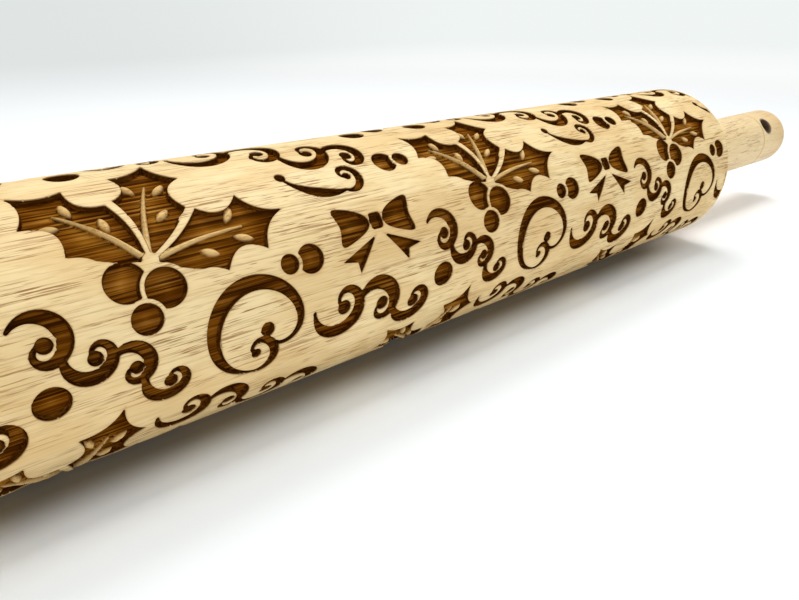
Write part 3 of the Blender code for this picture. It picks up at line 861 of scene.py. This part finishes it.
def grid_mesh(name, points, loops_rows, flips=False, **fields):
    """A mesh over a grid of points that closes round its columns, and round its rows if loops_rows.

    Each cell is two triangles, split along its shorter diagonal. A row on the axis becomes one point.
    The map OFBake lays the grid out flat, rows by their run and columns evenly."""
    rows, columns = points.shape[:2]
    row = np.arange(rows if loops_rows else rows - 1)
    i, j = (part.ravel() for part in np.meshgrid(row, np.arange(columns), indexing="ij"))
    corners = [(i, j), (i + 1, j), (i + 1, j + 1), (i, j + 1)]
    flat = points.reshape(-1, 3)
    index = np.arange(rows * columns).reshape(rows, columns)
    on_axis = np.ptp(points, axis=1).max(axis=1) < 1e-9
    index[on_axis] = index[on_axis][:, :1]
    quad = np.stack([index[a % rows, b % columns] for a, b in corners], 1)
    run = np.concatenate([[0], np.cumsum(np.linalg.norm(np.diff(points[:, 0], axis=0), axis=1))])
    lap = np.append(run, run[-1] + np.linalg.norm(points[0, 0] - points[-1, 0]))
    uv = np.stack([np.stack([lap[a] / lap[-1], b / columns], 1) for a, b in corners], 1)
    first = np.linalg.norm(flat[quad[:, 0]] - flat[quad[:, 2]], axis=1)
    second = np.linalg.norm(flat[quad[:, 1]] - flat[quad[:, 3]], axis=1)
    split = np.where((first <= second)[:, None, None], [[0, 1, 2], [0, 2, 3]], [[0, 1, 3], [1, 2, 3]])
    picked = np.take_along_axis(quad[:, None], split, 2).reshape(-1, 3)
    cell = np.repeat(np.arange(len(quad)), 2)
    picked_uv = uv[cell[:, None], split.reshape(-1, 3)]
    whole = (picked != np.roll(picked, 1, 1)).all(1)
    picked, picked_uv = picked[whole], picked_uv[whole]
    if flips:
        picked, picked_uv = picked[:, ::-1], picked_uv[:, ::-1]
    used, face = np.unique(picked, return_inverse=True)
    face = face.reshape(-1, 3)
    mesh = bpy.data.meshes.new(name)
    mesh.vertices.add(len(used))
    mesh.vertices.foreach_set("co", flat[used].astype(np.float32).ravel())
    mesh.loops.add(face.size)
    mesh.loops.foreach_set("vertex_index", face.astype(np.int32).ravel())
    mesh.polygons.add(len(face))
    mesh.polygons.foreach_set("loop_start", np.arange(0, face.size, 3, dtype=np.int32))
    mesh.update(calc_edges=True)
    mesh.uv_layers.new(name="OFBake").data.foreach_set("uv", picked_uv.astype(np.float32).ravel())
    for field, values in fields.items():
        data = mesh.attributes.new(field, "FLOAT", "POINT").data
        data.foreach_set("value", values.ravel()[used].astype(np.float32))
    if mesh.validate():
        raise RuntimeError(name + " has faces that Blender had to mend")
    mesh.shade_smooth()
    mesh.set_sharp_from_angle(angle=SHARP_ANGLE)
    return mesh


def placed(name, data):
    """A new object in the scene, which holds a mesh, a lamp or a camera."""
    made = bpy.data.objects.new(name, data)
    bpy.context.scene.collection.objects.link(made)
    return made


def add_piece(name, mesh, finish, body, slot, *nodes):
    """Puts a finished mesh in the scene, riding on its body in place of its CAD nodes."""
    mesh.materials.clear()
    mesh.materials.append(finish)
    piece = placed(name, mesh)
    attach(piece, body)
    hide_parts(*nodes)


def lathe(name, profile, columns, closed, side=1):
    """A profile of places and radii carried once round the axle, at the far end or mirrored to the
    near one."""
    along, radius = np.asarray(profile, float).T
    angle = np.arange(columns) * math.tau / columns
    points = wrapped(side * along[:, None] + 0 * angle, angle[None, :], radius[:, None])
    return grid_mesh(name, points, closed, flips=side < 0)


def quarter(centre, radius, start, end, steps):
    """Places on a circular arc between two angles in degrees, 0 along the axle and 90 outwards."""
    angle = np.radians(np.linspace(start, end, steps + 1))
    return np.stack([centre[0] + radius * np.cos(angle), centre[1] + radius * np.sin(angle)], 1)


def straight(*corners, step=0.002):
    """Points on straight lines through corners, closer than step."""
    made = []
    for start, end in zip(corners, corners[1:]):
        start, end = np.asarray(start, float), np.asarray(end, float)
        count = max(1, math.ceil(np.linalg.norm(end - start) / step))
        made.append(start + (end - start) * np.linspace(0, 1, count, endpoint=False)[:, None])
    made.append(np.asarray(corners[-1], float)[None])
    return np.concatenate(made)


def barrel_end_profile(barrel):
    """From the skin inwards at the far end: shoulder, face, flange recess, bushing seat and core."""
    shoulder_at = (BARREL_END - barrel.shoulder, BARREL_RADIUS - barrel.shoulder)
    shoulder = quarter(shoulder_at, barrel.shoulder, 90, 0, 14)[1:]
    recess = FLANGE_RADIUS + barrel.seat_gap
    floor = BARREL_END - barrel.flange - barrel.seat_gap
    seat = barrel.sleeve + barrel.seat_gap
    deep = BUSHING_START - barrel.seat_gap
    lip = quarter((BARREL_END - LIP, recess + LIP), LIP, 0, -90, 4)
    face = straight(shoulder[-1], lip[0])[1:-1]
    inner = straight(lip[-1], (floor, recess), (floor, seat), (deep, seat), (deep, barrel.core))[1:]
    return np.concatenate([shoulder, face, lip, inner])


def handle_profile(handle):
    """From the blind bore's foot to its mouth, over the grip, across the groove and round the end. The
    grip swells and the groove dips by half a cosine, and the end's face is a low parabola."""
    start, end = HANDLE_START, HANDLE_END
    groove = end - handle.groove_from_end
    half = handle.groove_width / 2
    foot = AXLE_END + handle.bore_spare
    mouth = ((start + BORE_EDGE, handle.bore), (start, handle.bore + BORE_EDGE))
    bore = straight((foot, 0), (foot, handle.bore), *mouth)
    grip_start, grip_end = start + handle.neck_round, groove - half - GROOVE_EDGE
    neck = quarter((grip_start, handle.neck - handle.neck_round), handle.neck_round, 180, 90, 8)
    share = np.linspace(0, 1, 60)[1:]
    swell = handle.neck + (HANDLE_RADIUS - handle.neck) * (1 - np.cos(math.pi * share)) / 2
    grip = np.stack([grip_start + share * (grip_end - grip_start), swell], 1)
    sweep = np.linspace(-1, 1, 13)
    dip = handle.groove_depth * (1 + np.cos(math.pi * sweep)) / 2
    valley = np.stack([groove + sweep * half, HANDLE_RADIUS - dip], 1)
    corner = (end - handle.crown - handle.end_round, HANDLE_RADIUS - handle.end_round)
    shank_start = (groove + half + GROOVE_EDGE, HANDLE_RADIUS)
    shank = straight(shank_start, (corner[0], HANDLE_RADIUS), step=0.0008)[:-1]
    edge = quarter(corner, handle.end_round, 90, 8, 18)
    flat = np.linspace(edge[-1][1], 0, 12)[1:]
    dome = np.stack([edge[-1][0] + (end - edge[-1][0]) * (1 - (flat / edge[-1][1]) ** 2), flat], 1)
    return np.concatenate([bore, neck, grip, valley, shank, edge, dome])


def hole_guide(handle, side):
    """The tool that bores a hanging hole: a rod across the handle that flares into rounded rims."""
    reach, mouth = HANDLE_RADIUS + GUIDE_SPARE, handle.hole + HOLE_FLARE
    rim = quarter((HANDLE_RADIUS - HOLE_FLARE, mouth), HOLE_FLARE, -90, 0, 8)
    half = np.concatenate([rim, [(reach, mouth)], [(reach, 0)]])
    along, radius = np.concatenate([half[::-1] * (-1, 1), half]).T[:, :, None]
    angle = np.arange(HOLE_COLUMNS) * math.tau / HOLE_COLUMNS
    groove = HANDLE_END - handle.groove_from_end
    across = side * (groove + handle.hole_from_groove) + radius * np.cos(angle)
    sideways = radius * np.sin(angle)
    up, out = math.sin(handle.hole_elevation), math.cos(handle.hole_elevation)
    y = -along * out + sideways * up
    z = AXIS_HEIGHT + along * up + sideways * out
    mesh = grid_mesh("hole_guide", np.stack([across, y, z], -1), False, flips=True)
    return placed("hole_guide", mesh)


def bored(mesh, guide):
    """A copy of a mesh with the guide's solid cut out of it."""
    blank = placed("blank", mesh)
    cut = blank.modifiers.new("hole", "BOOLEAN")
    cut.operation = "DIFFERENCE"
    cut.solver = "EXACT"
    cut.object = guide
    graph = bpy.context.evaluated_depsgraph_get()
    made = bpy.data.meshes.new_from_object(blank.evaluated_get(graph))
    for helper in (blank, guide):
        bpy.data.objects.remove(helper, do_unlink=True)
    made.name = mesh.name
    made.shade_smooth()
    made.set_sharp_from_angle(angle=SHARP_ANGLE)
    return made


class ROLLINGPIN_OT_barrel(bpy.types.Operator):
    """Carves the barrel: a closed ring of wood for each stretch of its length"""

    bl_idname = "rolling_pin.barrel"
    bl_label = "Engraved Barrel"

    def execute(self, context):
        scene = context.scene
        barrel, sizes = scene.pin_barrel, scene.pin_engraving
        finish = engraved_beech(scene.pin_colours)
        along, angle, height, edge, rise = relief(barrel, sizes)
        rows, even = len(along), angle[:1]
        end = barrel_end_profile(barrel)
        # Evenly spaced rows, the end profiles' own counted in
        borders = np.linspace(-len(end), rows - 1 + len(end), sizes.rings + 1).astype(int).clip(0, rows - 1)
        for number, (first, last) in enumerate(zip(borders, borders[1:])):
            part = slice(first, last + 1)
            before, after = (np.array([(along[row, 0], barrel.core)]) for row in (first, last))
            if number == 0:
                before = end[::-1] * (-1, 1)
            if number == sizes.rings - 1:
                after = end
            skin = wrapped(along[part], angle[part], BARREL_RADIUS + height[part])
            low, high = (wrapped(cut[:, :1] + 0 * even, even, cut[:, 1:]) for cut in (before, after))
            points = np.concatenate([low, skin, high])
            plain = ((len(before), len(after)), (0, 0))
            edges = np.pad(edge[part], plain, constant_values=PLAIN_EDGE)
            name = f"barrel_ring_{number + 1}"
            mesh = grid_mesh(name, points, True, edge=edges, crest=np.pad(rise[part], plain))
            add_piece(name, mesh, finish, "roller", "beech_barrel", "barrel")
        return {"FINISHED"}


class ROLLINGPIN_OT_handles(bpy.types.Operator):
    """Turns both handles, each with its groove, blind bore and hanging hole"""

    bl_idname = "rolling_pin.handles"
    bl_label = "Turned Handles"

    def execute(self, context):
        scene = context.scene
        finish = handle_beech(scene.pin_colours, scene.pin_handle)
        profile = handle_profile(scene.pin_handle)
        for end, side in ENDS:
            mesh = lathe("handle_skin_" + end, profile, HANDLE_COLUMNS, False, side)
            mesh = bored(mesh, hole_guide(scene.pin_handle, side))
            add_piece("turned_handle_" + end, mesh, finish, "grip_assembly", "beech_handle", "handle_" + end)
        return {"FINISHED"}


class ROLLINGPIN_OT_axle(bpy.types.Operator):
    """Turns the steel axle with broken corners"""

    bl_idname = "rolling_pin.axle"
    bl_label = "Axle"

    def execute(self, context):
        finish = drawn_steel(context.scene.pin_colours, "drawn_steel", 0.26)
        end = AXLE_END
        tip = quarter((end - AXLE_EDGE, AXLE_RADIUS - AXLE_EDGE), AXLE_EDGE, 90, 0, 6)
        half = np.concatenate([straight((0.0, AXLE_RADIUS), tip[0], step=0.01)[:-1], tip, [(end, 0.0)]])
        mesh = lathe("steel_axle", np.concatenate([half[:0:-1] * (-1, 1), half]), FITTING_COLUMNS, False)
        add_piece("steel_axle", mesh, finish, "grip_assembly", "axle_steel", "axle")
        return {"FINISHED"}


def add_pair(name, profile, finish, body, slot, node):
    """A ring at each end of the pin, turned from the stretches of its closed profile."""
    for end, side in ENDS:
        mesh = lathe(name + end, np.concatenate(profile), FITTING_COLUMNS, True, side)
        add_piece(name + end, mesh, finish, body, slot, node + end)


class ROLLINGPIN_OT_bushings(bpy.types.Operator):
    """Moulds the flanged nylon bushings with small rounded edges"""

    bl_idname = "rolling_pin.bushings"
    bl_label = "Bushings"

    def execute(self, context):
        barrel, edge = context.scene.pin_barrel, BUSHING_EDGE
        bore = AXLE_RADIUS + barrel.seat_gap
        start, end = BUSHING_START, BUSHING_END
        flange = end - barrel.flange
        profile = (
            straight((start, bore), (start, barrel.sleeve - edge)),
            straight((start + edge, barrel.sleeve), (flange, barrel.sleeve)),
            straight((flange, barrel.sleeve + edge), (flange, FLANGE_RADIUS)),
            quarter((end - edge, FLANGE_RADIUS - edge), edge, 90, 0, 5),
            quarter((end - edge, bore + edge), edge, 0, -90, 5),
        )
        finish = white_nylon(context.scene.pin_colours)
        add_pair("nylon_bushing_", profile, finish, "roller", "bushing_nylon", "bushing_")
        return {"FINISHED"}


class ROLLINGPIN_OT_washers(bpy.types.Operator):
    """Presses the two steel washers with rounded rims"""

    bl_idname = "rolling_pin.washers"
    bl_label = "Washers"

    def execute(self, context):
        edge = WASHER_EDGE
        inner, outer = AXLE_RADIUS + context.scene.pin_barrel.seat_gap + edge, WASHER_RADIUS - edge
        start, end = WASHER_START + edge, WASHER_END - edge
        profile = (
            quarter((start, inner), edge, 270, 180, 4),
            quarter((start, outer), edge, 180, 90, 4),
            quarter((end, outer), edge, 90, 0, 4),
            quarter((end, inner), edge, 0, -90, 4),
        )
        finish = drawn_steel(context.scene.pin_colours, "bright_steel", 0.18)
        add_pair("pressed_washer_", profile, finish, "grip_assembly", "washer_steel", "washer_")
        return {"FINISHED"}


class ROLLINGPIN_OT_stage(bpy.types.Operator):
    """Sets the pale floor, the soft lamps, the room's light and the camera"""

    bl_idname = "rolling_pin.stage"
    bl_label = "Studio"

    def execute(self, context):
        scene = context.scene
        stage = scene.pin_stage
        self.lay_floor()
        self.hang_lamp("overhead", stage.key)
        self.hang_lamp("front", stage.fill)
        self.light_room(scene, stage.sky)
        camera = bpy.data.cameras.new("camera")
        camera.lens = stage.lens
        camera.clip_start = 0.01
        viewer = placed("camera", camera)
        viewer.location = stage.eye
        viewer.rotation_euler = stage.aim
        scene.camera = viewer
        scene.view_settings.view_transform = "Standard"
        return {"FINISHED"}

    def lay_floor(self):
        """A wide square floor with upright walls far off."""
        mesh = bpy.data.meshes.new("floor")
        ring = ((-1, -1), (1, -1), (1, 1), (-1, 1))
        corners = [(x * FLOOR_REACH, y * FLOOR_REACH, z) for z in (0.0, WALL_RISE) for x, y in ring]
        walls = [(b, a, a + 4, b + 4) for a, b in ((0, 1), (1, 2), (2, 3), (3, 0))]
        mesh.from_pydata(corners, [], [(0, 1, 2, 3), *walls])
        mesh.materials.append(floor_paper())
        floor = placed("floor", mesh)

    def hang_lamp(self, name, power):
        """A square soft lamp."""
        place, degrees, size, colour = LAMPS[name]
        lamp = bpy.data.lights.new(name, "AREA")
        lamp.size = size
        lamp.energy = power
        lamp.color = colour
        hung = placed(name, lamp)
        hung.location = place
        hung.rotation_euler = [math.radians(turn) for turn in degrees]

    def light_room(self, scene, strength):
        """Even light from all round, seen by the camera as near white."""
        scene.world = bpy.data.worlds.new("room")
        finish = Finish("room", world=scene.world)
        light = {"Color": finish.colour(ROOM_LIGHT), "Strength": strength}
        paper = {"Color": finish.colour(ROOM_SEEN), "Strength": 1.0}
        lit, seen = (finish.node("Background", None, sockets) for sockets in (light, paper))
        mixed = finish.mix_shaders(finish.seen_directly(), lit, seen)
        finish.node("OutputWorld", None, {"Surface": mixed})


PIECES = (
    ROLLINGPIN_OT_barrel,
    ROLLINGPIN_OT_handles,
    ROLLINGPIN_OT_axle,
    ROLLINGPIN_OT_bushings,
    ROLLINGPIN_OT_washers,
    ROLLINGPIN_OT_stage,
)


class ROLLINGPIN_PT_panel(bpy.types.Panel):
    """Lists the pin's pieces and their sizes"""

    bl_idname = "ROLLINGPIN_PT_panel"
    bl_label = "Rolling Pin"
    bl_space_type = "VIEW_3D"
    bl_region_type = "UI"
    bl_category = "Rolling Pin"

    def draw(self, context):
        for piece in PIECES:
            self.layout.operator(piece.bl_idname)
        for group in GROUPS:
            box = self.layout.box()
            values = getattr(context.scene, group)
            for name in values.bl_rna.properties.keys():
                if name not in ("rna_type", "name"):
                    box.prop(values, name)


GROUPS = {
    "pin_barrel": BarrelSizes,
    "pin_engraving": EngravingSizes,
    "pin_handle": HandleSizes,
    "pin_colours": FinishColours,
    "pin_stage": StageSettings,
}
CLASSES = (*GROUPS.values(), *PIECES, ROLLINGPIN_PT_panel)


def register():
    for made in CLASSES:
        bpy.utils.register_class(made)
    for name, group in GROUPS.items():
        setattr(bpy.types.Scene, name, PointerProperty(type=group))


def unregister():
    for name in GROUPS:
        delattr(bpy.types.Scene, name)
    for made in reversed(CLASSES):
        bpy.utils.unregister_class(made)


def main():
    register()
    for piece in PIECES:
        area, name = piece.bl_idname.split(".")
        getattr(getattr(bpy.ops, area), name)()


if __name__ == "__main__":
    main()
